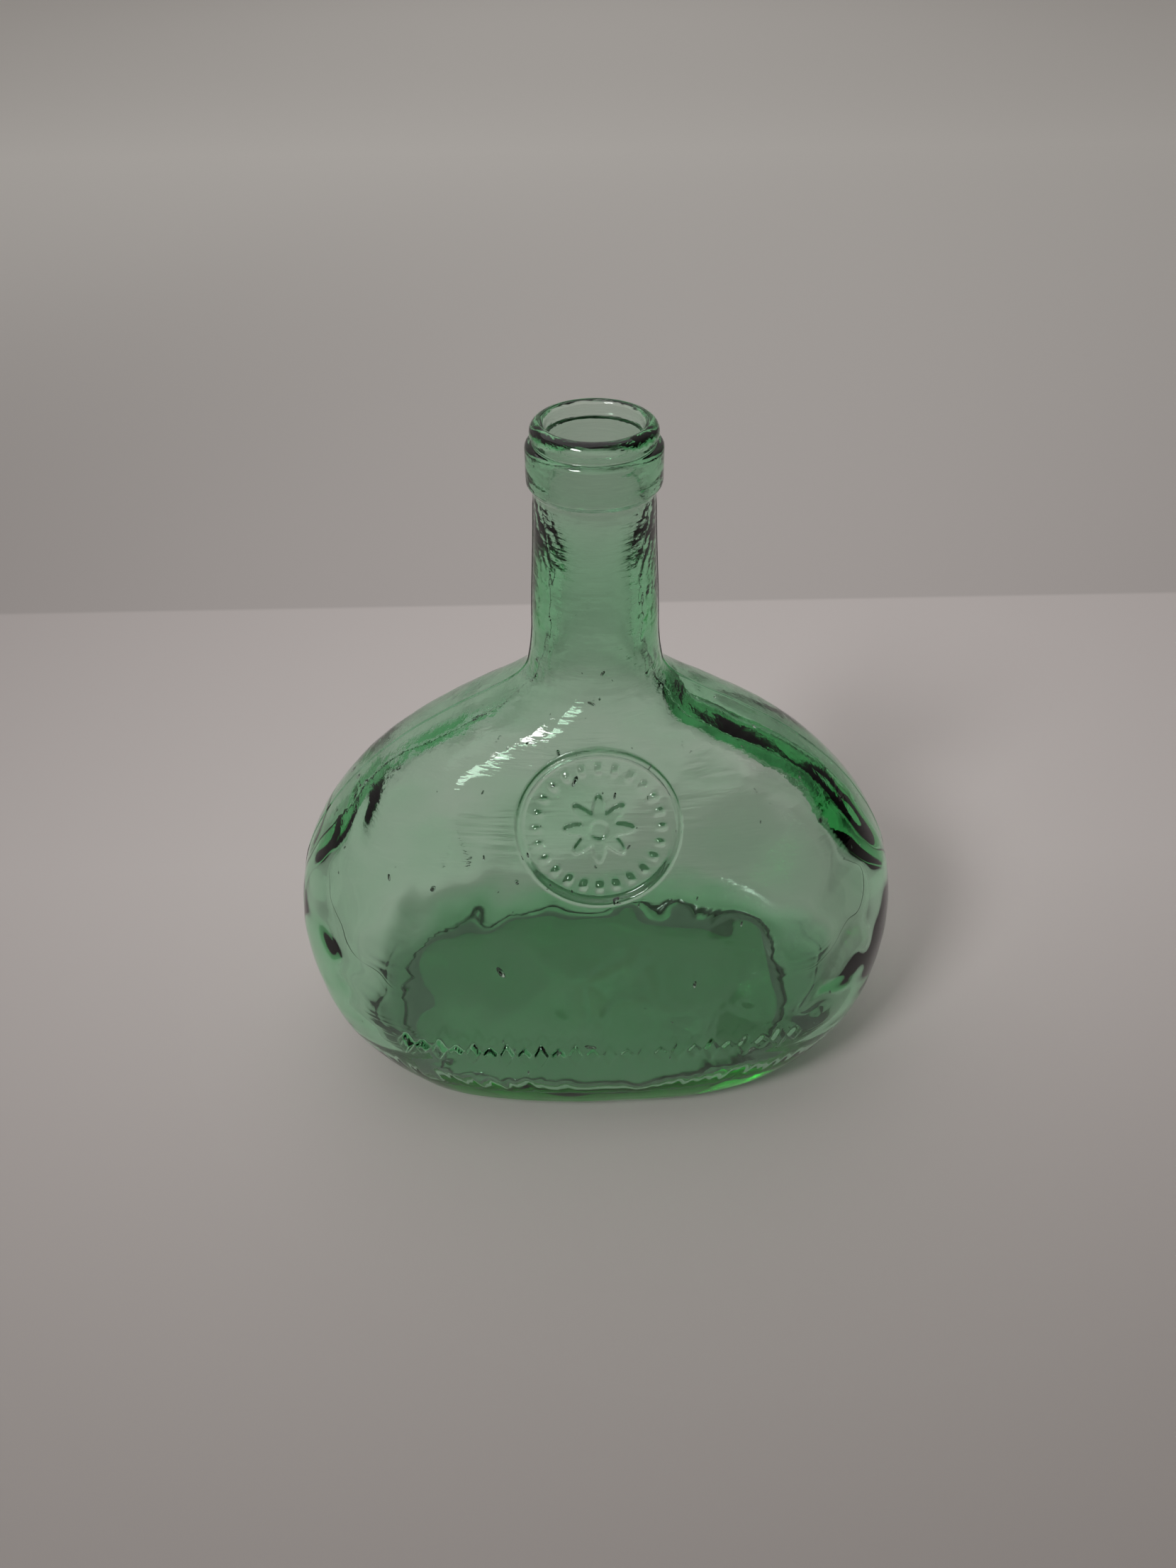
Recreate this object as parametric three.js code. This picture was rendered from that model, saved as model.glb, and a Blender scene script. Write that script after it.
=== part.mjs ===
// A moulded glass flask: a wide, flattened oval body on a thick flat base, a round neck and a
// corked finish (lip and collar), with a round seal in low relief on the front.
// Millimetres, +Z up. The origin is the middle of the base's underside, X runs across the
// width and -Y is the front. The glass is divided where the moulds that form it divide: the
// finish, the neck, the shoulders and walls, whose front and back halves meet in the seam plane
// Y = 0, and the base.
import * as THREE from 'three';
import { mergeVertices } from 'three/addons/utils/BufferGeometryUtils.js';

// ---------- driving dimensions ----------
const HEIGHT = 165;
const GAP = 0.3; // between neighbouring regions of the glass
const WALL = 3.6; // body wall
const BASE_TOP = 10.5; // the inside floor's height
const BASE_CORNER = 8; // radius of the corner between the inside floor and the wall
const REST_RIM = 1.2; // how far the edge of the base turns up before the body's curve begins
const SHOULDER_FOOT = 64; // where the walls end and the shoulders begin to close in
const NECK_SWEEP = 95; // where the shoulders begin to sweep up into the neck
const NECK_FOOT = 113; // where the neck stands on the shoulders

const BORE_R = 9.3;
const BORE_FLARE = 0.5; // how much wider the mouth is at its rim
const BORE_BLEND = 1; // how softly the body's inside runs into the bore
const LIP_R = 12.7;
const LIP_HEIGHT = 4;
const COLLAR_R = 13.7;
const COLLAR_HEIGHT = 10;
const GROOVE_R = 12.2; // between the lip and the collar
const NECK_R = 12.3; // outside radius under the collar

const SEAL_HEIGHT = 83; // of the seal's middle
const SEAL_R = 18.2;
const SEAL_RIM = 1.6; // width of its rim
const SEAL_RELIEF = 0.9;
const SEAL_PETALS = 8;
const ROSETTE_R = 5.6; // mean radius of the rosette
const ROSETTE_SWELL = 1.7; // how far its petals swell and dip

// The outside of the flask as rounded-oval rings: height, half width, half depth, squareness
// (the exponent of the ring's superellipse, 2 being an ellipse).
const OUTSIDE = [
  [0, 50.8, 31, 2.9],
  [1.6, 53.2, 32.6, 2.8],
  [5, 57, 35.2, 2.7],
  [11, 61.8, 37.8, 2.7],
  [20, 67.3, 39, 2.7],
  [33, 70.8, 37.9, 2.7],
  [46, 71.5, 35.8, 2.65],
  [60, 68.7, 32.6, 2.6],
  [73, 61.6, 28.7, 2.6],
  [84, 52.2, 24.6, 2.6],
  [93, 41.4, 21.3, 2.5],
  [100, 30, 18.6, 2.35],
  [105, 20.8, 16.2, 2.15],
  [109, 15.6, 14.5, 2],
  [NECK_FOOT, 14.2, 14, 2],
  [128, 13.2, 13.1, 2],
  [148, NECK_R, NECK_R, 2],
  [HEIGHT, NECK_R, NECK_R, 2],
];

const AROUND = 48; // points around a ring

// ---------- the flask's two surfaces ----------
const outsideCurve = new THREE.CubicInterpolant(
  OUTSIDE.map((ring) => ring[0]),
  OUTSIDE.flatMap((ring) => ring.slice(1)),
  3,
);

/** The outside ring at a height: its half width, half depth and squareness. */
function outsideRing(z) {
  const [halfWidth, halfDepth, squareness] = outsideCurve.evaluate(z);
  return { z, halfWidth, halfDepth, squareness };
}

/** How far the inside corner at the floor stands in from the wall at a height. */
function cornerFill(z) {
  const depth = THREE.MathUtils.clamp(1 - (z - BASE_TOP) / BASE_CORNER, 0, 1);
  return BASE_CORNER * (1 - Math.sqrt(1 - depth ** 2));
}

/** A half axis of the inside ring: WALL in from the outside, and never tighter than the bore. */
function insideHalf(z, axis) {
  const slope = outsideRing(z + 0.5)[axis] - outsideRing(z - 0.5)[axis];
  const wall = WALL * Math.hypot(1, slope) + cornerFill(z);
  const spare = outsideRing(z)[axis] - wall - BORE_R;
  return BORE_R + (spare + Math.hypot(spare, BORE_BLEND)) / 2;
}

/** The inside ring at a height. */
function insideRing(z) {
  return {
    z,
    halfWidth: insideHalf(z, 'halfWidth'),
    halfDepth: insideHalf(z, 'halfDepth'),
    squareness: outsideRing(z).squareness,
  };
}

/** The point of a ring at an angle from +X. */
function ringPoint(ring, angle) {
  const c = Math.cos(angle);
  const s = Math.sin(angle);
  const power = 2 / ring.squareness;
  return new THREE.Vector3(
    ring.halfWidth * Math.sign(c) * Math.abs(c) ** power,
    ring.halfDepth * Math.sign(s) * Math.abs(s) ** power,
    ring.z,
  );
}

/** The outward normal of the outside surface at a height and angle. */
function outsideNormal(z, angle) {
  const step = 0.01;
  const here = ringPoint(outsideRing(z), angle);
  const along = ringPoint(outsideRing(z), angle + step).sub(here);
  const up = ringPoint(outsideRing(z + step), angle).sub(here);
  return along.cross(up).normalize();
}

// ---------- solids from rings ----------

/** One closed body from a grid of points; closedRows joins each row's end to its start. */
function gridSolid(rows, { closedRows, closedColumns }) {
  const width = rows[0].length;
  const points = rows.flat();
  const index = [];
  const rowCount = closedColumns ? rows.length : rows.length - 1;
  const columnCount = closedRows ? width : width - 1;
  for (let i = 0; i < rowCount; i++) {
    for (let j = 0; j < columnCount; j++) {
      const a = i * width + j;
      const b = i * width + ((j + 1) % width);
      const c = ((i + 1) % rows.length) * width + j;
      const d = ((i + 1) % rows.length) * width + ((j + 1) % width);
      index.push(a, b, d, a, d, c);
    }
  }
  if (!closedColumns) {
    capRow(points, index, rows[0], 0, true);
    capRow(points, index, rows.at(-1), (rows.length - 1) * width, false);
  }
  if (!closedRows) {
    closeSides(rows, index, width);
  }
  const geometry = new THREE.BufferGeometry().setFromPoints(points);
  geometry.setIndex(index);
  return mergeVertices(geometry, 1e-4);
}

/** Closes a ring-shaped row with a fan about its middle. */
function capRow(points, index, row, first, below) {
  const middle = row.reduce((sum, p) => sum.add(p), new THREE.Vector3()).divideScalar(row.length);
  const centre = points.push(middle) - 1;
  for (let j = 0; j < row.length; j++) {
    const a = first + j;
    const b = first + ((j + 1) % row.length);
    index.push(...(below ? [centre, b, a] : [centre, a, b]));
  }
}

/** Closes the two cut faces of a half shell whose rows run outside then back inside. */
function closeSides(rows, index, width) {
  const half = rows.length / 2;
  for (let i = 0; i < half - 1; i++) {
    const outer = i * width;
    const nextOuter = (i + 1) * width;
    const inner = (rows.length - 1 - i) * width;
    const nextInner = (rows.length - 2 - i) * width;
    index.push(outer, nextOuter, nextInner, outer, nextInner, inner);
    const last = width - 1;
    index.push(outer + last, inner + last, nextInner + last);
    index.push(outer + last, nextInner + last, nextOuter + last);
  }
}

/** Evenly spaced numbers from low to high, both included. */
function spread(low, high, count) {
  return Array.from({ length: count }, (_, i) => THREE.MathUtils.lerp(low, high, i / (count - 1)));
}

/** A full ring of points, at AROUND angles. */
function fullRing(ring) {
  return spread(0, 2 * Math.PI, AROUND + 1).slice(0, -1).map((angle) => ringPoint(ring, angle));
}

/** Half a ring of points on one side of the seam plane, held GAP / 2 clear of it. */
function halfRing(ring, side) {
  const start = side < 0 ? Math.PI : 0;
  const points = spread(start, start + Math.PI, AROUND / 2 + 1).map((a) => ringPoint(ring, a));
  points.forEach((p) => { p.y = side * Math.max(Math.abs(p.y), GAP / 2); });
  return points;
}

/** A turned ring about Z from a closed outline of [radius, height] points. */
function turned(outline) {
  const profile = [...outline, outline[0]].map(([r, z]) => new THREE.Vector2(r, z));
  const geometry = new THREE.LatheGeometry(profile, AROUND);
  geometry.rotateX(Math.PI / 2);
  geometry.deleteAttribute('normal');
  geometry.deleteAttribute('uv');
  return mergeVertices(geometry, 1e-4);
}

/** The points of a quarter turn or less, from one angle to another about a centre. */
function arc(centreR, centreZ, radius, from, to, count = 6) {
  return spread(from, to, count).map((degrees) => {
    const angle = THREE.MathUtils.degToRad(degrees);
    return [centreR + radius * Math.cos(angle), centreZ + radius * Math.sin(angle)];
  });
}

// ---------- the glass ----------

function lip() {
  const foot = HEIGHT - LIP_HEIGHT + GAP / 2;
  const crown = 2.1; // radius of the lip's outer round
  const inner = 1; // radius of its inner round
  return turned([
    [BORE_R, foot],
    [GROOVE_R, foot],
    [LIP_R, foot + 0.9],
    ...arc(LIP_R - crown, HEIGHT - crown, crown, 0, 90, 8),
    ...arc(BORE_R + BORE_FLARE + inner, HEIGHT - inner, inner, 90, 180, 5),
    [BORE_R, HEIGHT - inner - 1.2],
  ]);
}

function collar() {
  const top = HEIGHT - LIP_HEIGHT - GAP / 2;
  const foot = top - COLLAR_HEIGHT;
  const round = 1.2; // radius of the collar's upper edge
  const cove = 2.2; // height of the curve from the collar down to the neck
  return turned([
    [BORE_R, foot],
    [NECK_R, foot],
    ...arc(NECK_R, foot + cove, COLLAR_R - NECK_R, -70, 0, 5),
    ...arc(COLLAR_R - round, top - round, round, 0, 75, 5),
    [GROOVE_R, top],
    [BORE_R, top],
  ]);
}

function neck() {
  const top = HEIGHT - LIP_HEIGHT - COLLAR_HEIGHT - GAP;
  const heights = spread(NECK_FOOT + GAP / 2, top, 8);
  const outside = heights.map((z) => fullRing(outsideRing(z)));
  const inside = heights.toReversed().map((z) => fullRing(insideRing(z)));
  return gridSolid([...outside, ...inside], { closedRows: true, closedColumns: true });
}

/** Part of one blown half, on the side of the seam plane that the sign of side gives. */
function halfShell(side, heights) {
  const outside = heights.map((z) => halfRing(outsideRing(z), side));
  const inside = heights.toReversed().map((z) => halfRing(insideRing(z), side));
  return gridSolid([...outside, ...inside], { closedRows: false, closedColumns: true });
}

/** One half of the upright walls, from the base to the shoulders. */
function wall(side) {
  const foot = BASE_TOP + GAP / 2;
  const top = SHOULDER_FOOT - GAP / 2;
  const corner = spread(foot, foot + BASE_CORNER, 5);
  return halfShell(side, [...corner, ...spread(foot + BASE_CORNER, top, 8).slice(1)]);
}

/** One half of the shoulders, from the walls to the neck. */
function shoulder(side) {
  const foot = SHOULDER_FOOT + GAP / 2;
  const top = NECK_FOOT - GAP / 2;
  return halfShell(side, [...spread(foot, NECK_SWEEP, 6), ...spread(NECK_SWEEP, top, 8).slice(1)]);
}

function base() {
  const heights = [...spread(0, REST_RIM, 3), ...spread(2 * REST_RIM, BASE_TOP - GAP / 2, 6)];
  const rows = heights.map((z) => fullRing(outsideRing(z)));
  return gridSolid(rows, { closedRows: true, closedColumns: false });
}

// ---------- the relief on the front ----------

/** Where a flat pattern point (u across, v up from the seal's middle) lies on the front. */
function onFront(u, v, proud) {
  const z = SEAL_HEIGHT + v;
  const ring = outsideRing(z);
  const share = Math.min(1, Math.abs(u) / ring.halfWidth) ** (ring.squareness / 2);
  const angle = 1.5 * Math.PI + Math.sign(u) * Math.asin(share);
  const point = ringPoint(ring, angle);
  return point.addScaledVector(outsideNormal(z, angle), proud);
}

/** A closed ring of points on the front about the seal's middle, its radius given by angle. */
function sealRing(radiusAt, count, proud) {
  const angles = spread(0, 2 * Math.PI, count + 1).slice(0, -1);
  return angles.map((a) => onFront(radiusAt(a) * Math.cos(a), radiusAt(a) * Math.sin(a), proud));
}

/** The seal's rim: a ring that follows the front's curve. */
function sealRim() {
  const edge = (radius, proud) => sealRing(() => radius, 64, proud);
  const outer = SEAL_R;
  const inner = SEAL_R - SEAL_RIM;
  const rows = [
    edge(inner, GAP),
    edge(outer, GAP),
    edge(outer - SEAL_RIM / 4, GAP + SEAL_RELIEF),
    edge(inner + SEAL_RIM / 4, GAP + SEAL_RELIEF),
  ];
  return gridSolid(rows, { closedRows: true, closedColumns: true });
}

/** The rosette in the middle of the seal: a pad whose radius swells at each petal. */
function sealRosette() {
  const radiusAt = (angle) => ROSETTE_R + ROSETTE_SWELL * Math.cos(SEAL_PETALS * angle);
  const low = sealRing(radiusAt, 8 * SEAL_PETALS, GAP);
  const high = sealRing(radiusAt, 8 * SEAL_PETALS, GAP + SEAL_RELIEF);
  return gridSolid([low, high], { closedRows: true, closedColumns: false });
}

// ---------- the assembly ----------
const wallGlass = { color: 0x9fc4ae, roughness: 0.04, metalness: 0, transparent: true, opacity: 0.5 };
const thickGlass = { ...wallGlass, color: 0x5f9a7a };

const flask = new THREE.Group();

function add(name, geometry, finish = wallGlass) {
  const mesh = new THREE.Mesh(geometry, new THREE.MeshStandardMaterial(finish));
  mesh.name = name;
  flask.add(mesh);
}

add('lip', lip());
add('collar', collar());
add('neck', neck());
add('shoulder_front', shoulder(-1));
add('shoulder_back', shoulder(1));
add('wall_front', wall(-1));
add('wall_back', wall(1));
add('base', base(), thickGlass);
add('seal_rim', sealRim());
add('seal_rosette', sealRosette());

export default flask;
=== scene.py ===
"""A moulded glass flask on a pale table: one continuous glass with low relief on its front,
mould seams, an uneven inside, a thick floor with a ragged crease round it, and trapped seeds."""
import math

import bpy
import numpy as np
from mathutils import Matrix, Vector


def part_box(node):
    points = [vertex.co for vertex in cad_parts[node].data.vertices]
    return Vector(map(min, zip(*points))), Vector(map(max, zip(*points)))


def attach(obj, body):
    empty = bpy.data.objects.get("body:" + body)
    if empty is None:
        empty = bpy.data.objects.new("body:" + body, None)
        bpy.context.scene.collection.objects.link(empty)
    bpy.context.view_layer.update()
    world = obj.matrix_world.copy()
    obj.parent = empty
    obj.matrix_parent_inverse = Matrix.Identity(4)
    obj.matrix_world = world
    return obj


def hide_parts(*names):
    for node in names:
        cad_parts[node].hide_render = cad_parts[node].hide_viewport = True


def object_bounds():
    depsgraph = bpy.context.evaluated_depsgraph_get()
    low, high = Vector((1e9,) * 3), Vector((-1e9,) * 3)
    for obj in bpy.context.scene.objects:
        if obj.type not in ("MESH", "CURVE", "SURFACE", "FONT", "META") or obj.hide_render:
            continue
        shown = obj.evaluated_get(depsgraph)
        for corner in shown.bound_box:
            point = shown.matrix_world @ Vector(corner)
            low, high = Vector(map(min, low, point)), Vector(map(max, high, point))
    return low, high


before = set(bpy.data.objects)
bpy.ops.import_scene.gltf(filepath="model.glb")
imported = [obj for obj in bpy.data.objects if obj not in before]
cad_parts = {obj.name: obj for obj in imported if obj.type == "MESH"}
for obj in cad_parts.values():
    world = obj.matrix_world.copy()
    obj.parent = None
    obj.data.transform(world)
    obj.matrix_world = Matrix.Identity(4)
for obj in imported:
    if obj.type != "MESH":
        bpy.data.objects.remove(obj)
cad_low, cad_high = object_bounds()

MM = 0.001  # lengths are millimetres, apart from the stage's and unless they say otherwise

# ---------- the flask's sizes, from the frame ----------
HEIGHT = cad_high.z / MM
LIP_LOW, LIP_HIGH = (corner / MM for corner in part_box("lip"))
COLLAR_LOW, COLLAR_HIGH = (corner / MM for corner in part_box("collar"))
SEAL_LOW, SEAL_HIGH = (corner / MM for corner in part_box("seal_rim"))
BODY_NODES = ("base", "wall_front", "wall_back", "shoulder_front", "shoulder_back", "neck")

# ---------- what the frame doesn't hold ----------
BORE_R = 9.3
BORE_FLARE = 0.5  # how much wider the mouth is at its rim
NECK_BORE_R = 6.0  # the neck is tighter inside than the mouth
BORE_BLEND = 2.0  # how softly the body's inside runs into the neck's
BORE_RUN = 20.0  # over which the neck's inside widens to the mouth's bore
GROOVE_R = 12.2  # between the lip and the collar
LIP_CROWN = 2.1  # radius of the lip's outer round
LIP_INNER = 1.0  # radius of its inner round
COLLAR_ROUND = 1.2  # radius of the collar's upper edge
LOW_WALL = 3.6  # the blown wall thins towards the shoulders
HIGH_WALL = 2.3
NECK_WALL = 5.9
FLOOR_HEIGHT = 10.6  # of the inside floor at the crease round it
FLOOR_SAG = 0.8  # how much lower the inside floor's middle lies
FLOOR_HALF_WIDTH = 51.8
FLOOR_HALF_DEPTH = 29.6
FLOOR_TILT = 1.7  # how much higher the floor is at the back than in the middle
FLOOR_SHIFT = -2.0  # of its middle, towards the front
FLOOR_CORNER = 8.0  # height of the curve from the floor up to the wall
FLOOR_SQUARENESS = 2.7  # exponent of its outline's superellipse
CREASE_SHARE = 0.975  # where the crease lies, as a share of the floor's size
CREASE_DEPTH = 0.9
CREASE_WIDTH = 0.65
PUSH_UP = 1.5  # how far the underside's middle is raised
SEAM_HEIGHT = 0.22
RIDGE_RIGHT = 5.2  # extra glass inside the shoulders along the seam
RIDGE_LEFT = 2.2
RIDGE_PATCH = 1.4  # on top of the left's, in patches
MARK_HEIGHT = 26.0  # of the row of lozenges on the heel
MARK_PITCH = 4.0
MARKS_A_SIDE = 12  # lozenges on each side of the middle
MARK_TALL, MARK_SHORT = 3.6, 2.2  # half heights
MARK_WIDE = 1.75  # half width
SEAL_HEIGHT = (SEAL_LOW.z + SEAL_HIGH.z) / 2
SEAL_R = (SEAL_HIGH.x - SEAL_LOW.x) / 2
SEAL_LEAN = 1.07  # the front leans back, so a height on it covers more of the seal
BEADS = 24
BEAD_RING_R = 13.6
PETALS = 8
PETAL_R = 5.9
EYE_R = 2.0  # of the hollow in the rosette's middle
SEED_COUNT = 130
SEED_LOW, SEED_HIGH = 14.0, 118.0  # heights between which the seeds lie

# ---------- how finely the glass is divided ----------
AROUND = 600  # points round a ring
UNDERSIDE_ROWS = 16
BORE_ROWS = 12
CORNER_ROWS = 20
SEED_AROUND = 12
SEED_DOWN = 7

# ---------- shares of red, green and blue light: painted shade on the underside, the darkened crease, and film and bloom on the glass ---
UNDERSIDE_PAINTED_SHADE = (0.50, 0.60, 0.51)  # let through by the underside, darkened as painted shade standing in for the shadow under the flask
NECK_FILM = (0.14, 0.18, 0.16)  # taken away by the film inside the neck
BLOOM = (0.4, 1.0, 1.5)  # taken away by the floor's brown bloom, times its strength
CREASE_DARKENING = 0.985  # taken away along the crease, which is darkened nearly to black


def smoothstep(x, low, high):
    """A smooth rise from 0 at low to 1 at high."""
    t = np.clip((x - low) / (high - low), 0.0, 1.0)
    return t * t * (3 - 2 * t)


def bump(x, width):
    """A smooth bump of height 1 at x = 0."""
    return np.exp(-((x / width) ** 2))


def ripple(points, wavelength, seed, stretch=(1, 1, 1), waves=28):
    """Smooth seeded noise of about unit size, whose lumps are longer along a stretched axis."""
    rng = np.random.default_rng(seed)
    direction = rng.normal(size=(waves, 3))
    direction /= np.linalg.norm(direction, axis=1)[:, None]
    number = 2 * math.pi / (wavelength * rng.uniform(0.7, 1.5, waves))
    phase = rng.uniform(0, 2 * math.pi, waves)
    turns = (points / np.array(stretch)) @ (direction * number[:, None]).T + phase
    return np.sin(turns).sum(-1) / math.sqrt(waves / 2)


# ---------- the outline, measured on the frame ----------

def measured_rings():
    """Heights, half widths and half depths of the rings that the CAD body is built from."""
    points = []
    for name in BODY_NODES:
        points += [vertex.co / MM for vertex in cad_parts[name].data.vertices]
    points = np.abs(np.array(points))
    level = np.round(points[:, 2], 1)
    heights = np.unique(level)
    half_width = [points[level == z, 0].max() for z in heights]
    half_depth = [points[level == z, 1].max() for z in heights]
    return heights, np.array(half_width), np.array(half_depth)


def hermite(x, xs, ys):
    """A smooth curve through the points xs, ys."""
    slope = np.gradient(ys, xs)
    i = np.clip(np.searchsorted(xs, x) - 1, 0, len(xs) - 2)
    step = xs[i + 1] - xs[i]
    t = (x - xs[i]) / step
    start = (1 + 2 * t) * (1 - t) ** 2 * ys[i] + t * (1 - t) ** 2 * step * slope[i]
    end = t * t * (3 - 2 * t) * ys[i + 1] + t * t * (t - 1) * step * slope[i + 1]
    return start + end


RING_Z, RING_A, RING_B = measured_rings()


def outside(z):
    """Half width and half depth of the outside at a height."""
    return hermite(z, RING_Z, RING_A), hermite(z, RING_Z, RING_B)


def squareness(z):
    """The exponent of the ring's superellipse: rounded oblong low down, round at the neck."""
    foot = 0.2 * smoothstep(-z, -4, 0)
    return 2.7 + foot - 0.1 * smoothstep(z, 33, 60) - 0.6 * smoothstep(z, 86, 109)


def inside(z):
    """Half width and half depth of the inside: a wall in from the outside, then the bore."""
    wall = LOW_WALL + (HIGH_WALL - LOW_WALL) * smoothstep(z, 30, 80)
    wall = wall + (NECK_WALL - HIGH_WALL) * smoothstep(z, 98, 122)
    half = []
    for outer, above, below in zip(outside(z), outside(z + 0.5), outside(z - 0.5)):
        spare = outer - wall * np.hypot(1, above - below) - NECK_BORE_R
        half.append(NECK_BORE_R + (spare + np.hypot(spare, BORE_BLEND)) / 2)
    to_bore = smoothstep(z, COLLAR_LOW.z - BORE_RUN, COLLAR_LOW.z)
    return [axis + (BORE_R - axis) * to_bore for axis in half]


# ---------- the glass as one grid of rings, from the underside's middle to the inside floor's ----

def arc(centre_r, centre_z, radius, start, end, count):
    """Radius and height of points on an arc, whose angles are in degrees."""
    angle = np.radians(np.linspace(start, end, count))
    return [(centre_r + radius * math.cos(a), centre_z + radius * math.sin(a)) for a in angle]


def underside_rings():
    """The slightly raised underside, out to the flat on which the flask stands."""
    a, b = outside(np.array([0.0]))
    share = np.linspace(0.004, 1, UNDERSIDE_ROWS)
    z = PUSH_UP * (1 - smoothstep(share, 0.1, 0.93))
    return np.stack([a * share, b * share, z, np.full_like(z, squareness(0.0))], 1)


def body_rings():
    """The outside, from the standing edge to under the collar, with most rows over the seal."""
    heights = np.concatenate([
        8 * np.linspace(0, 1, 19)[1:] ** 1.6,
        np.linspace(8, 22, 12)[1:],
        np.linspace(22, 30, 25)[1:],
        np.linspace(30, 64, 24)[1:],
        np.linspace(64, 102, 116)[1:],
        np.linspace(102, COLLAR_LOW.z - 0.3, 52)[1:],
    ])
    a, b = outside(heights)
    return np.stack([a, b, heights, squareness(heights)], 1)


def finish_rings():
    """Collar, groove, lip and bore rim, as turned rings."""
    collar_r = COLLAR_HIGH.x
    lip_r = LIP_HIGH.x
    neck_r = outside(np.array([COLLAR_LOW.z - 0.3]))[0][0]
    cove = collar_r - neck_r
    outline = [
        *arc(neck_r, COLLAR_LOW.z + 2.4, cove, -75, -4, 9),
        (collar_r, COLLAR_LOW.z + 3.0),
        *[(collar_r, z) for z in np.linspace(COLLAR_LOW.z + 3.6, COLLAR_HIGH.z - 1.5, 8)],
        *arc(collar_r - COLLAR_ROUND, COLLAR_HIGH.z - COLLAR_ROUND, COLLAR_ROUND, 0, 70, 7),
        (GROOVE_R + 0.4, COLLAR_HIGH.z - 0.02),
        (GROOVE_R, COLLAR_HIGH.z + 0.15),
        (GROOVE_R + 0.15, LIP_LOW.z + 0.3),
        (lip_r - 0.12, LIP_LOW.z + 0.8),
        (lip_r, LIP_LOW.z + 1.2),
        *arc(lip_r - LIP_CROWN, HEIGHT - LIP_CROWN, LIP_CROWN, 0, 90, 14),
        *arc(BORE_R + BORE_FLARE + LIP_INNER, HEIGHT - LIP_INNER, LIP_INNER, 100, 180, 8),
        (BORE_R + 0.2, HEIGHT - LIP_INNER - 1.6),
        *[(BORE_R, z) for z in np.linspace(HEIGHT - LIP_INNER - 3.2, COLLAR_LOW.z, BORE_ROWS)],
    ]
    return np.array([(r, r, z, 2.0) for r, z in outline])


def inside_rings():
    """The inside, from the bore down the walls to the floor's corner."""
    corner_top = FLOOR_HEIGHT + FLOOR_CORNER
    heights = np.concatenate([
        np.linspace(COLLAR_LOW.z - 1.0, 100, 44),
        np.linspace(100, corner_top, 66)[1:],
    ])
    a, b = inside(heights)
    return np.stack([a, b, heights, squareness(heights)], 1)


def floor_rings():
    """The corner of the inside floor, the crease beside it, and the floor to its middle."""
    turn = np.linspace(0, 1, CORNER_ROWS + 1)[1:] * math.pi / 2
    corner_top = FLOOR_HEIGHT + FLOOR_CORNER
    wall_a, wall_b = (half[0] for half in inside(np.array([corner_top])))
    draw = 1 - np.cos(turn)
    corner = np.stack([
        wall_a + (FLOOR_HALF_WIDTH - wall_a) * draw,
        wall_b + (FLOOR_HALF_DEPTH - wall_b) * draw,
        corner_top - FLOOR_CORNER * np.sin(turn),
        np.full_like(turn, FLOOR_SQUARENESS),
    ], 1)
    crease = 1 - 0.06 * np.linspace(0, 1, 25)[1:]
    middle = np.linspace(0.94, 0.004, 24)[1:]
    share = np.concatenate([crease, middle])
    floor = np.stack([
        FLOOR_HALF_WIDTH * share,
        FLOOR_HALF_DEPTH * share,
        FLOOR_HEIGHT - FLOOR_SAG * (1 - share**2),
        np.full_like(share, FLOOR_SQUARENESS),
    ], 1)
    return np.concatenate([corner, floor]), share


def ring_angles():
    """AROUND angles, closer over the front, and closest over the seal and the two seams."""
    a, b = (half[0] for half in outside(np.array([SEAL_HEIGHT])))
    fine = np.linspace(0, 2 * math.pi, 20001)
    x, y = superellipse(fine, a, b, squareness(np.array([SEAL_HEIGHT]))[0])
    length = np.hypot(np.diff(x), np.diff(y))
    seal = (y[1:] < 0) * smoothstep(-np.abs(x[1:]), -SEAL_R - 4, -SEAL_R)
    front = (y[1:] < 0) * smoothstep(-np.abs(x[1:]), -52, -48)
    seam = bump(y[1:], 1.6)
    density = 1 + 1.0 * seal + 0.8 * front + 2.5 * seam
    reach = np.concatenate([[0], np.cumsum(length * density)])
    return np.interp(np.linspace(0, reach[-1], AROUND + 1)[:-1], reach, fine)


def superellipse(angle, a, b, n):
    """The point at an angle on a ring of half width a, half depth b and exponent n."""
    c, s = np.cos(angle), np.sin(angle)
    return a * np.sign(c) * np.abs(c) ** (2 / n), b * np.sign(s) * np.abs(s) ** (2 / n)


def grid_normals(grid):
    """Unit normals of the grid, which point out of the glass."""
    along = np.roll(grid, -1, 1) - np.roll(grid, 1, 1)
    up = np.gradient(grid, axis=0)
    normal = np.cross(along, up)
    return normal / np.maximum(np.linalg.norm(normal, axis=2), 1e-9)[..., None]


# ---------- relief ----------
MIRROR = np.array([-1, 1, 1])  # turns the body's swells left to right


def seal_relief(u, v):
    """Height of the seal's rim, beads and rosette at a point of the front, from its middle."""
    r = np.hypot(u, v)
    angle = np.arctan2(u, v)
    rim = 0.95 * bump(np.maximum(np.abs(r - SEAL_R + 0.8) - 0.2, 0), 0.38)
    field = -0.35 * smoothstep(-r, -SEAL_R + 1.3, -SEAL_R + 2.2)
    beads = 0.65 * smoothstep(np.cos(BEADS * angle), -0.1, 0.8) * bump(r - BEAD_RING_R, 0.9)
    petal_r = PETAL_R + 1.8 * np.cos(PETALS * angle)
    rosette = 1.0 * smoothstep(petal_r - r, -0.35, 0.45)
    eye = -0.5 * smoothstep(EYE_R - r, -0.3, 0.4)
    return rim + field + beads + rosette + eye


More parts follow.
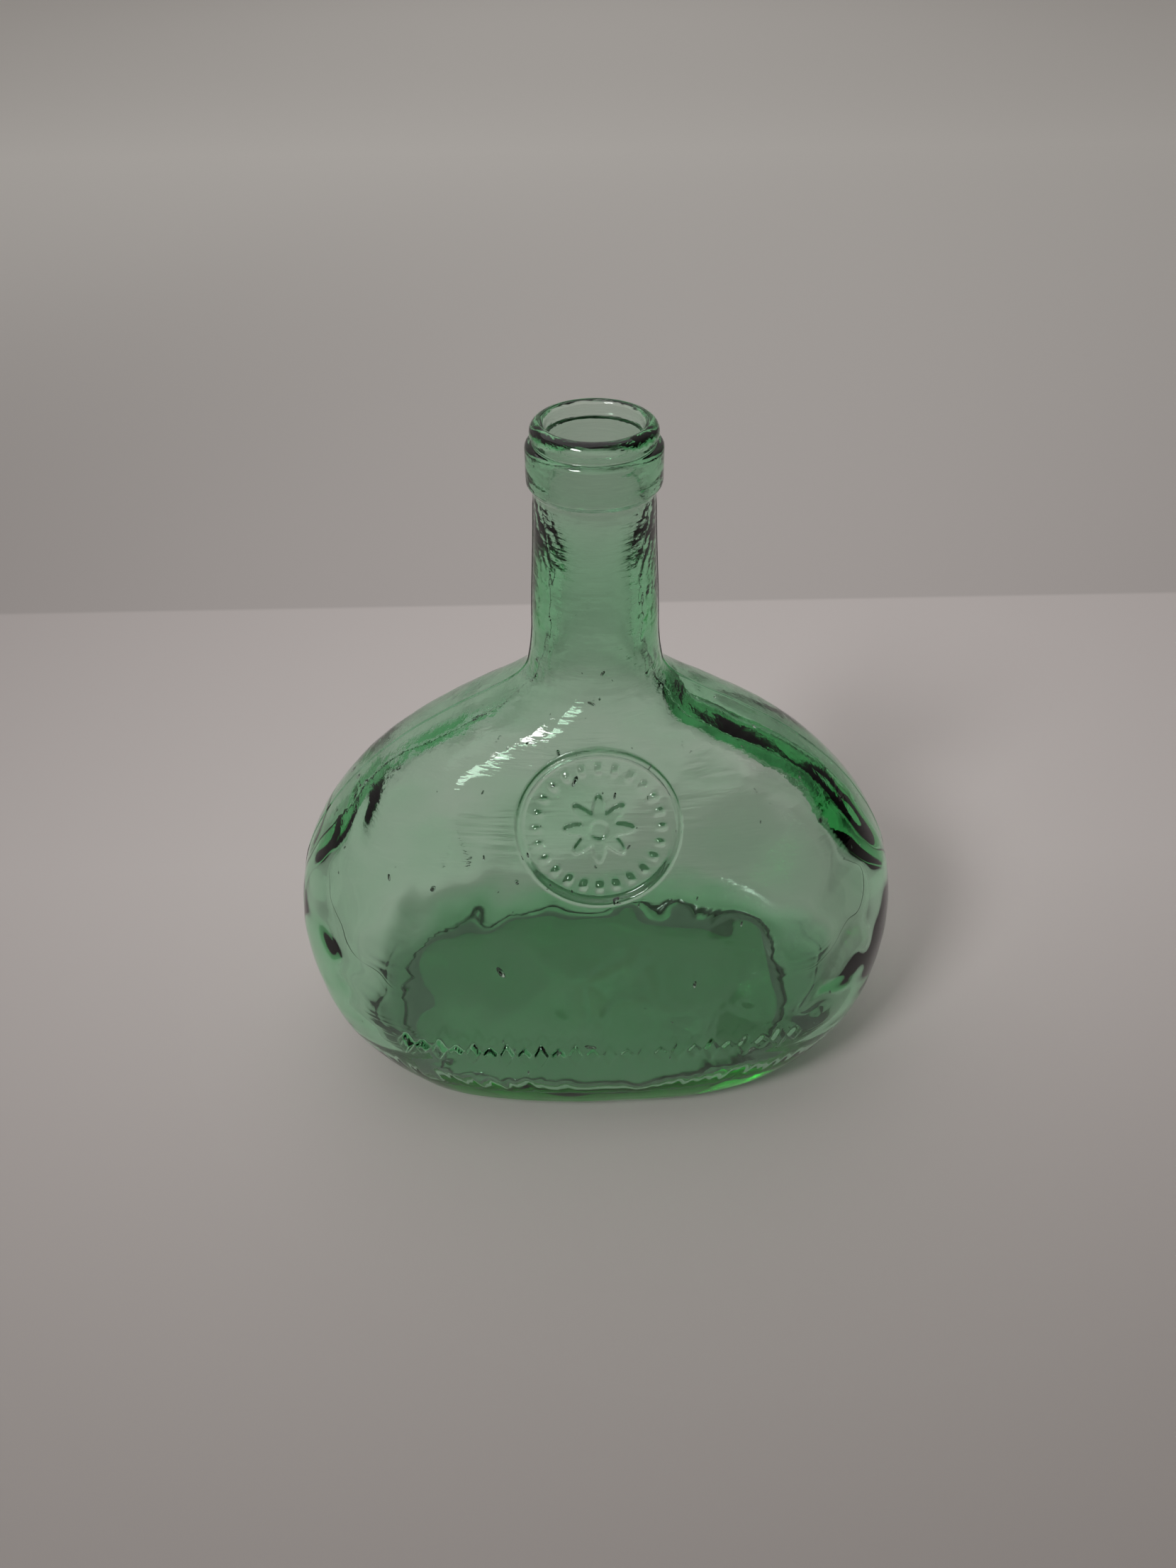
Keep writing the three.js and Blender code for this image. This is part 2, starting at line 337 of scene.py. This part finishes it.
def heel_marks(u, z):
    """A plain row of tall and short lozenges along the front of the heel, deeper on the left."""
    index = np.floor(u / MARK_PITCH)
    across = u - (index + 0.5) * MARK_PITCH
    half_height = np.where(np.mod(index, 2) == 0, MARK_TALL, MARK_SHORT)
    lozenge = np.abs(across) / MARK_WIDE + np.abs(z - MARK_HEIGHT) / half_height
    depth = 0.45 + 0.75 * smoothstep(-u, 2, 14)
    return depth * smoothstep(-lozenge, -1.12, -0.7) * (np.abs(u) < MARKS_A_SIDE * MARK_PITCH)


def outside_relief(p):
    """How far the outside stands proud of its plain form at each point."""
    x, y, z = p[..., 0], p[..., 1], p[..., 2]
    front = y < -5
    above = (z - SEAL_HEIGHT) * SEAL_LEAN
    on_seal = front & (np.hypot(x, above) < SEAL_R + 3)
    seal = np.where(on_seal, seal_relief(x, above), 0)
    marks = np.where(front, heel_marks(x, z), 0)
    seam_ends = smoothstep(z, 1, 6) * smoothstep(-z, -COLLAR_LOW.z, -COLLAR_LOW.z + 4)
    seam = SEAM_HEIGHT * bump(y, 0.35) * seam_ends
    ring = 0.1 * bump(z - COLLAR_LOW.z + 1.2, 0.25)
    plate = 0.12 * bump(z - 5.2, 0.4)
    swell = 0.10 * ripple(p, 34, 3) + 0.02 * ripple(p, 9, 4)
    swell = swell * smoothstep(z, 0.5, 6) * smoothstep(-z, -120, -100)
    return seal + marks + seam + ring + plate + swell


def inside_relief(p):
    """How uneven the inside is: long swells, short waves, and streaks down the neck's sides."""
    x, y, z = p[..., 0], p[..., 1], p[..., 2]
    body = smoothstep(-z, -112, -96) * smoothstep(z, 20, 30)
    calm = 0.08 + 0.92 * np.maximum(smoothstep(np.abs(y), 8, 22), smoothstep(z, 62, 76))
    neck = smoothstep(z, 100, 118) * smoothstep(-z, -160, -150)
    swell = 0.48 * ripple(p * MIRROR, 42, 11) + 0.18 * ripple(p, 18, 12) + 0.05 * ripple(p, 8, 13)
    thin = 0.9 * bump(x - 30, 18) * bump(z - 82, 16) * (y < 0)
    side = smoothstep(np.abs(x), 5.5, 8)
    streaks = 0.06 * side * ripple(p, 2.2, 14, (1, 1, 2)) + 0.08 * ripple(p, 16, 15, (1, 1, 2))
    return body * (calm * swell + thin - shoulder_ridge(p)) + neck * streaks


def shoulder_ridge(p):
    """Extra glass inside the shoulders along the seam: much on +X, less and patchy on -X."""
    x, y, z = p[..., 0], p[..., 1], p[..., 2]
    over = smoothstep(z, 50, 70) * smoothstep(-z, -110, -102)
    right = RIDGE_RIGHT * smoothstep(x, 4, 20) * bump(y + 1.5, 9)
    patch = smoothstep(ripple(p, 20, 16), -0.2, 0.9) * smoothstep(-z, -84, -76)
    left = (RIDGE_LEFT + RIDGE_PATCH * patch) * smoothstep(-x, 4, 20) * bump(y + 2, 12)
    return over * (right + left)


def crease_line(p, share):
    """How strongly the ragged crease round the inside floor is there: 0 off it, up to 1 on it."""
    heavy = 0.6 + 0.4 * smoothstep(p[..., 0], -5, 30)
    strength = heavy * (0.55 + 0.45 * smoothstep(ripple(p, 5, 21), -0.9, 0.7))
    return strength * bump((share - CREASE_SHARE) * inradius(p), CREASE_WIDTH * heavy)


def floor_relief(p, share):
    """The uneven floor and the crease round it."""
    uneven = 0.04 * ripple(p, 34, 25) + 0.025 * ripple(p, 5, 23, (3, 1, 1))
    return uneven * smoothstep(-share, -1, -0.92) - CREASE_DEPTH * crease_line(p, share)


def floor_bloom_and_crease(p, share):
    """What the crease, darkened nearly to black, and a faint brown bloom on the floor, let through.
    """
    patch = bump(np.hypot(p[..., 0] - 4, 1.6 * p[..., 1]), 13)
    bloom = 0.22 * patch * smoothstep(ripple(p, 5, 24), -1.2, 1.2)
    crease_dark = CREASE_DARKENING * np.minimum(2.6 * crease_line(p, share), 1)
    clear = 1 - bloom[..., None] * np.array(BLOOM)
    return clear * (1 - crease_dark)[..., None]


def neck_film(p):
    """What the faint grey film inside the neck lets through."""
    film = smoothstep(p[..., 2], 102, 120)[..., None]
    return 1 - film * np.array(NECK_FILM)


def inradius(p):
    """Millimetres for each unit of share, measured square to the floor's rings."""
    n = FLOOR_SQUARENESS
    x = np.abs(p[..., 0]) / FLOOR_HALF_WIDTH
    y = np.abs(p[..., 1]) / FLOOR_HALF_DEPTH
    share = np.maximum((x**n + y**n) ** (1 / n), 1e-6)
    slope_x = (x / share) ** (n - 1) / FLOOR_HALF_WIDTH
    slope_y = (y / share) ** (n - 1) / FLOOR_HALF_DEPTH
    return 1 / np.maximum(np.hypot(slope_x, slope_y), 1e-6)


def wander(angle):
    """How far the crease wanders in and out round the floor, as a share of the floor's size."""
    ring = np.stack([np.cos(angle), np.sin(angle), 0 * angle], -1) * 50
    wide = 0.012 * ripple(ring, 30, 31)
    middling = 0.008 * ripple(ring, 8, 32)
    fine = 0.006 * ripple(ring, 2.5, 33)
    return wide + middling + fine - 0.02


def settle_floor(lower, share, angle):
    """Wanders, tilts and shifts the inside floor's rows, more and more down its corner."""
    turn = smoothstep(np.linspace(0, 1, CORNER_ROWS + 1)[1:], 0, 1)
    settle = np.concatenate([turn, np.ones_like(share)])
    pull = settle * np.concatenate([np.ones(CORNER_ROWS), smoothstep(share, 0.2, 0.95)])
    lower[..., :2] *= (1 + pull[:, None] * wander(angle)[None, :])[..., None]
    lower[..., 2] += FLOOR_TILT * settle[:, None] * lower[..., 1] / FLOOR_HALF_DEPTH
    lower[..., 1] += FLOOR_SHIFT * settle[:, None]


def glass_grid():
    """All rings as one grid of points, relief included, and at each point the light let through by
    the bloom, the film, the darkened crease and the underside's painted shade.
    """
    floor, share = floor_rings()
    outer = np.concatenate([underside_rings(), body_rings()])
    parts = [outer, finish_rings(), inside_rings(), floor]
    rings = np.concatenate(parts)
    first_finish, first_inside, first_floor = np.cumsum([len(part) for part in parts])[:3]
    angle = ring_angles()
    x, y = superellipse(angle[None, :], rings[:, :1], rings[:, 1:2], rings[:, 3:])
    grid = np.stack([x, y, np.broadcast_to(rings[:, 2:3], x.shape)], -1)
    normal = grid_normals(grid)
    proud = np.zeros(grid.shape[:2])
    proud[:first_finish] = outside_relief(grid[:first_finish])
    proud[first_inside:first_floor] = -inside_relief(grid[first_inside:first_floor])
    floor_share = np.concatenate([np.full(CORNER_ROWS, 2.0), share])[:, None]
    proud[first_floor:] = floor_relief(grid[first_floor:], floor_share)
    stain_and_shade = np.ones(grid.shape)
    stain_and_shade[first_floor:] = floor_bloom_and_crease(grid[first_floor:], floor_share)
    # painted shade: the underside's colour darkens the base seen through it, standing in for the
    # shadow under the flask
    stain_and_shade[:UNDERSIDE_ROWS - 1] = UNDERSIDE_PAINTED_SHADE
    bore = slice(first_inside - BORE_ROWS, first_floor)
    stain_and_shade[bore] = neck_film(grid[bore])
    proud[0] = proud[-1] = 0
    settle_floor(grid[first_floor:], share, angle)
    return grid + normal * proud[..., None], stain_and_shade


def mesh_of(name, points, faces):
    """A new object in the scene from points in metres."""
    mesh = bpy.data.meshes.new(name)
    mesh.from_pydata(points, [], faces)
    mesh.validate()
    mesh.update()
    piece = bpy.data.objects.new(name, mesh)
    bpy.context.scene.collection.objects.link(piece)
    return piece


def grid_faces(rows, columns):
    """Quads of a grid whose rows close on themselves."""
    i, j = np.meshgrid(np.arange(rows - 1), np.arange(columns), indexing="ij")
    low = i * columns
    high = low + columns
    k = (j + 1) % columns
    return np.stack([low + j, low + k, high + k, high + j], -1).reshape(-1, 4)


def ball():
    """Points and faces of a unit ball whose faces look inwards, as a bubble's do."""
    turn = np.linspace(0, 2 * math.pi, SEED_AROUND, endpoint=False)
    fall = np.linspace(0, math.pi, SEED_DOWN + 2)[1:-1]
    body = []
    for f in fall:
        body += [(math.sin(f) * math.cos(t), math.sin(f) * math.sin(t), math.cos(f)) for t in turn]
    faces = [tuple(face) for face in grid_faces(SEED_DOWN, SEED_AROUND)]
    last = (SEED_DOWN - 1) * SEED_AROUND
    faces.append(tuple(range(SEED_AROUND)))
    faces.append(tuple(range(last + SEED_AROUND - 1, last - 1, -1)))
    return np.array(body), faces


def seeds(grid, normal):
    """Small oval bubbles in the middle of the wall, drawn out along the way the glass flowed."""
    rng = np.random.default_rng(41)
    shape, faces = ball()
    points, polygons = [], []
    height = grid[:, 0, 2]
    outer = np.arange(len(grid)) < len(grid) // 2
    rows = np.flatnonzero((height > SEED_LOW) & (height < SEED_HIGH) & outer)
    for _ in range(SEED_COUNT):
        row = rng.choice(rows)
        column = rng.integers(0, AROUND)
        out = normal[row, column]
        across = np.array([-out[1], out[0], 0.0])
        across /= np.linalg.norm(across)
        up = np.cross(out, across)
        turn = rng.normal(0, 0.5)
        long = math.cos(turn) * up + math.sin(turn) * across
        wide = np.cross(out, long)
        size = min(0.95, 0.2 * math.exp(rng.normal(0.4, 0.6)))
        length = size * rng.uniform(0.8, 1.9)
        axes = np.array([wide * size * 0.7, long * length, out * min(size * 0.7, 0.5)])
        centre = grid[row, column] - out * rng.uniform(1.0, 1.6)
        start = len(points) * len(shape)
        points.append(centre + shape @ axes)
        polygons += [tuple(start + k for k in face) for face in faces]
    return np.concatenate(points), polygons


def make_glass():
    """The whole flask as one mesh: the grid of rings, its two caps and the seeds."""
    grid, stain_and_shade = glass_grid()
    rows, columns = grid.shape[:2]
    seed_points, seed_faces = seeds(grid, grid_normals(grid))
    points = np.concatenate([grid.reshape(-1, 3), seed_points]) * MM
    faces = grid_faces(rows, columns).tolist()
    faces.append(list(range(columns))[::-1])
    faces.append(list(range((rows - 1) * columns, rows * columns)))
    faces += [[rows * columns + k for k in face] for face in seed_faces]
    piece = mesh_of("flask_glass", points.tolist(), faces)
    piece.data.polygons.foreach_set("use_smooth", [True] * len(piece.data.polygons))
    colours = np.ones((len(points), 4))
    colours[: rows * columns, :3] = stain_and_shade.reshape(-1, 3)
    # the colour attribute carries the underside's painted shade along with the bloom, film and
    # darkened crease
    layer = piece.data.attributes.new("stain_and_shade", "FLOAT_COLOR", "POINT")
    layer.data.foreach_set("color", colours.ravel())
    return piece


# ---------- materials ----------
GLASS_IOR = 1.52
GLASS_TINT = (0.165, 0.82, 0.39, 1)
GLASS_DENSITY = 95.0  # of the tint, per metre
WORN_LOW, WORN_HIGH = 1.2, 1.7  # the underside's wear ends between these heights
WORN_ROUGHNESS = 0.05
STREAK_ANGLE = -48.0  # degrees, how the drawn streaks lean
STREAK_SCALE = (60, 300, 700)  # streaks per metre along, through and across them
STREAK_LOW, STREAK_HIGH = 66, 80  # the streaks set in between these heights
STREAK_DEPTH = 0.2


def new_material(name):
    """A new material, with its nodes and links."""
    material = bpy.data.materials.new(name)
    material.use_nodes = True
    return material, material.node_tree.nodes, material.node_tree.links


def glass_material():
    """Clear glass, tinted sea green by the length of glass that light passes through."""
    material, nodes, links = new_material("sea_green_glass")
    shader = nodes["Principled BSDF"]
    stain_and_shade = nodes.new("ShaderNodeAttribute")
    stain_and_shade.attribute_name = "stain_and_shade"
    # the base colour takes the underside's painted shade, with the bloom, film and darkened crease,
    # from the mesh's colour attribute
    links.new(stain_and_shade.outputs["Color"], shader.inputs["Base Color"])
    shader.inputs["IOR"].default_value = GLASS_IOR
    shader.inputs["Transmission Weight"].default_value = 1.0
    tint = nodes.new("ShaderNodeVolumeAbsorption")
    tint.inputs["Color"].default_value = GLASS_TINT
    tint.inputs["Density"].default_value = GLASS_DENSITY
    links.new(tint.outputs["Volume"], nodes["Material Output"].inputs["Volume"])
    place = nodes.new("ShaderNodeNewGeometry")
    split = nodes.new("ShaderNodeSeparateXYZ")
    worn = nodes.new("ShaderNodeMapRange")
    worn.inputs["From Min"].default_value = WORN_LOW * MM
    worn.inputs["From Max"].default_value = WORN_HIGH * MM
    worn.inputs["To Min"].default_value = WORN_ROUGHNESS
    worn.inputs["To Max"].default_value = 0.0
    links.new(place.outputs["Position"], split.inputs[0])
    links.new(split.outputs["Z"], worn.inputs["Value"])
    links.new(worn.outputs["Result"], shader.inputs["Roughness"])
    streak_bump(nodes, links, shader, split)
    return material


def streak_bump(nodes, links, shader, split):
    """Fine drawn streaks in the shoulders, which break up their highlights."""
    coordinates = nodes.new("ShaderNodeTexCoord")
    turned = nodes.new("ShaderNodeMapping")
    turned.inputs["Rotation"].default_value = (0, math.radians(STREAK_ANGLE), 0)
    turned.inputs["Scale"].default_value = STREAK_SCALE
    noise = nodes.new("ShaderNodeTexNoise")
    noise.inputs["Scale"].default_value = 1.0
    noise.inputs["Detail"].default_value = 3.0
    bump_node = nodes.new("ShaderNodeBump")
    bump_node.inputs["Strength"].default_value = 0.65
    bump_node.inputs["Distance"].default_value = STREAK_DEPTH * MM
    shoulders = nodes.new("ShaderNodeMapRange")
    shoulders.inputs["From Min"].default_value = STREAK_LOW * MM
    shoulders.inputs["From Max"].default_value = STREAK_HIGH * MM
    drawn = nodes.new("ShaderNodeMath")
    drawn.operation = "MULTIPLY"
    links.new(coordinates.outputs["Object"], turned.inputs["Vector"])
    links.new(turned.outputs["Vector"], noise.inputs["Vector"])
    links.new(split.outputs["Z"], shoulders.inputs["Value"])
    links.new(shoulders.outputs["Result"], drawn.inputs[0])
    links.new(noise.outputs["Fac"], drawn.inputs[1])
    links.new(drawn.outputs["Value"], bump_node.inputs["Height"])
    links.new(bump_node.outputs["Normal"], shader.inputs["Normal"])


# ---------- the stage, in metres ----------
ROOM_COLOUR = (0.50, 0.47, 0.455, 1)
ROOM_BRIGHT_SIDE = (-0.35, 0.62, 0.70)  # the direction of the room's bright side
ROOM_DIM, ROOM_BRIGHT = 0.03, 0.68  # how bright the room is away from that side, and towards it
ROOM_DIM_COS, ROOM_BRIGHT_COS = -0.35, 0.85  # cosines of the angles to that side, for the two
WINDOW_PLACE = (-0.50, -0.63, 0.85)
WINDOW_SIZE = (0.29, 0.24)
CAMERA_PLACE = (-0.00639, -0.24228, 0.26429)
CAMERA_TURN = (-1.08, 37.81, -0.51)  # degrees: yaw, pitch down, roll
CAMERA_LENS = 30.1
TABLE_HALF = 2.5
TABLE_TONES_AND_PAINTED_FALLOFF = [  # how far behind the flask's middle (mm), and the colour there, which darkens towards the front as painted shade and brightens far behind as painted light
    (-150, (0.33, 0.30, 0.285)),
    (-40, (0.44, 0.405, 0.39)),
    (60, (0.55, 0.51, 0.495)),
    (215, (0.60, 0.555, 0.54)),
    (217, (0.49, 0.455, 0.44)),
    (1000, (1.0, 0.98, 0.93)),
]


def table_material():
    """A matt pale table whose tone deepens towards the front as painted shade, changes once behind
    the flask, and brightens far behind as painted light.
    """
    material, nodes, links = new_material("pale_table")
    shader = nodes["Principled BSDF"]
    shader.inputs["Roughness"].default_value = 0.55
    place = nodes.new("ShaderNodeNewGeometry")
    split = nodes.new("ShaderNodeSeparateXYZ")
    links.new(place.outputs["Position"], split.inputs[0])
    tone = None
    # the tones paint shade towards the front and light far behind
    for (near, _), (far, colour) in zip(TABLE_TONES_AND_PAINTED_FALLOFF, TABLE_TONES_AND_PAINTED_FALLOFF[1:]):
        reach = nodes.new("ShaderNodeMapRange")
        reach.inputs["From Min"].default_value = near * MM
        reach.inputs["From Max"].default_value = far * MM
        links.new(split.outputs["Y"], reach.inputs["Value"])
        mix = nodes.new("ShaderNodeMix")
        mix.data_type = "RGBA"
        mix.inputs["A"].default_value = (*TABLE_TONES_AND_PAINTED_FALLOFF[0][1], 1)
        mix.inputs["B"].default_value = (*colour, 1)
        links.new(reach.outputs["Result"], mix.inputs["Factor"])
        if tone:
            links.new(tone, mix.inputs["A"])
        tone = mix.outputs["Result"]
    links.new(tone, shader.inputs["Base Color"])
    return material


def make_table():
    """The table on which the flask stands, kept out of the model as part of the stage."""
    corners = [(x * TABLE_HALF, y * TABLE_HALF, 0) for x, y in ((-1, -1), (1, -1), (1, 1), (-1, 1))]
    piece = mesh_of("table", corners, [(0, 1, 2, 3)])
    piece.data.materials.append(table_material())


def make_world():
    """A room lit from behind on the left, and dim at the front on the right."""
    world = bpy.data.worlds.new("room")
    bpy.context.scene.world = world
    world.use_nodes = True
    nodes, links = world.node_tree.nodes, world.node_tree.links
    back = nodes["Background"]
    back.inputs["Color"].default_value = ROOM_COLOUR
    direction = nodes.new("ShaderNodeTexCoord")
    toward = nodes.new("ShaderNodeVectorMath")
    toward.operation = "DOT_PRODUCT"
    toward.inputs[1].default_value = Vector(ROOM_BRIGHT_SIDE).normalized()
    level = nodes.new("ShaderNodeMapRange")
    level.interpolation_type = "SMOOTHSTEP"
    level.inputs["From Min"].default_value = ROOM_DIM_COS
    level.inputs["From Max"].default_value = ROOM_BRIGHT_COS
    level.inputs["To Min"].default_value = ROOM_DIM
    level.inputs["To Max"].default_value = ROOM_BRIGHT
    links.new(direction.outputs["Generated"], toward.inputs[0])
    links.new(toward.outputs["Value"], level.inputs["Value"])
    links.new(level.outputs["Result"], back.inputs["Strength"])


def area_light(name, place, target, size, power, spread=180):
    """A rectangular lamp at a place, turned to a target."""
    data = bpy.data.lights.new(name, "AREA")
    data.shape = "RECTANGLE"
    data.size, data.size_y = size
    data.energy = power
    data.spread = math.radians(spread)
    lamp = bpy.data.objects.new(name, data)
    lamp.location = place
    lamp.rotation_mode = "QUATERNION"
    lamp.rotation_quaternion = (Vector(target) - Vector(place)).to_track_quat("-Z", "Y")
    bpy.context.scene.collection.objects.link(lamp)
    return lamp


def make_lights():
    """A broad lamp overhead, a dim one over the far table, and a window in front on the left."""
    area_light("ceiling", (-0.20, 0.35, 1.0), (0, 0.1, 0), (1.2, 1.2), 2.7)
    area_light("far_lamp", (0, 2.0, 0.9), (0, 1.7, 0), (1.0, 0.6), 0.3, spread=100)
    # The unshadowed share stands for the light that clear glass lets through onto the table.
    for name, power, shadowed in (("window", 0.33, True), ("window_through_glass", 0.09, False)):
        lamp = area_light(name, WINDOW_PLACE, (0, 0, 0.1), WINDOW_SIZE, power, spread=40)
        lamp.data.use_shadow = shadowed


def make_camera():
    """The camera at the photograph's angle."""
    data = bpy.data.cameras.new("camera")
    data.sensor_width = 36
    data.lens = CAMERA_LENS
    data.clip_start = 0.01
    camera = bpy.data.objects.new("camera", data)
    yaw, pitch, roll = (math.radians(a) for a in CAMERA_TURN)
    turn = Matrix.Rotation(yaw, 3, "Z") @ Matrix.Rotation(math.pi / 2 - pitch, 3, "X")
    turn = turn @ Matrix.Rotation(roll, 3, "Z")
    camera.matrix_world = Matrix.Translation(CAMERA_PLACE) @ turn.to_4x4()
    bpy.context.scene.collection.objects.link(camera)
    bpy.context.scene.camera = camera


make_camera()
glass = make_glass()
glass.data.materials.append(glass_material())
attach(glass, "root")
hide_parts(*BODY_NODES, "collar", "lip", "seal_rim", "seal_rosette")
make_table()
make_world()
make_lights()
bpy.context.scene.view_settings.view_transform = "Standard"
